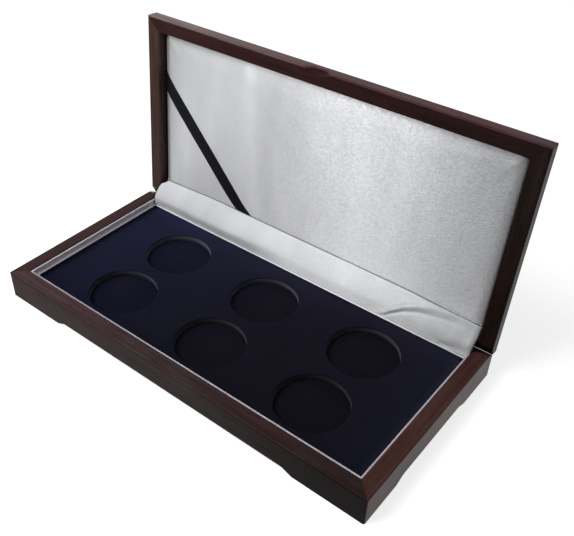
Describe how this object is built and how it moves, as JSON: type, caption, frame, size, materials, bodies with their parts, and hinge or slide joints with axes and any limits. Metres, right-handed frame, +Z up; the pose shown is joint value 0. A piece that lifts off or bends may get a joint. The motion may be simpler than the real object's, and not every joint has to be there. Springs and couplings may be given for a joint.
{
  "type": "coin display case",
  "caption": "Shallow wooden presentation case, lid held open past upright; padded satin lid lining with a corner ribbon over a velvet tray of round coin recesses.",
  "frame": {"origin": "middle of the open case's overall footprint, in the plane that its corner feet stand on", "axes": "+X to the case's right, +Y to its back, where the hinges are, +Z up"},
  "size_m": [0.29, 0.157, 0.1571],
  "materials": {
    "mahogany_lacquer": "satin lacquer over dark mahogany stain",
    "fibreboard": "stained fibreboard",
    "white_satin": "silvery white satin",
    "navy_velvet": "short-pile velvet",
    "navy_ribbon": "satin ribbon",
    "grey_board": "plain board",
    "plated_steel": "plated"
  },
  "bodies": {
    "base": {"base_front_rail": "mahogany_lacquer", "base_rear_rail": "mahogany_lacquer", "base_left_rail": "mahogany_lacquer", "base_right_rail": "mahogany_lacquer", "base_floor_panel": "fibreboard", "front_satin_liner": "white_satin", "left_satin_liner": "white_satin", "right_satin_liner": "white_satin", "satin_hinge_strip": "white_satin", "pocket_floor_board": "navy_velvet", "velvet_insert": "navy_velvet", "left_hinge_base_leaf": "plated_steel", "left_hinge_pin": "plated_steel", "right_hinge_base_leaf": "plated_steel", "right_hinge_pin": "plated_steel", "base_hinge_screws": "plated_steel"},
    "lid": {"lid_front_rail": "mahogany_lacquer", "lid_rear_rail": "mahogany_lacquer", "lid_left_rail": "mahogany_lacquer", "lid_right_rail": "mahogany_lacquer", "lid_top_panel": "mahogany_lacquer", "lid_pad_board": "grey_board", "lid_satin_pad": "white_satin", "corner_ribbon": "navy_ribbon", "left_hinge_lid_leaf": "plated_steel", "right_hinge_lid_leaf": "plated_steel", "lid_hinge_screws": "plated_steel"}
  },
  "joints": [
    {"name": "lid_hinge", "type": "hinge", "parent": "base", "child": "lid", "pos_m": [0, 0.05897, 0.0201], "axis": [1, 0, 0], "range_deg": [0, 94], "deforming": ["satin_hinge_strip"]}
  ]
}
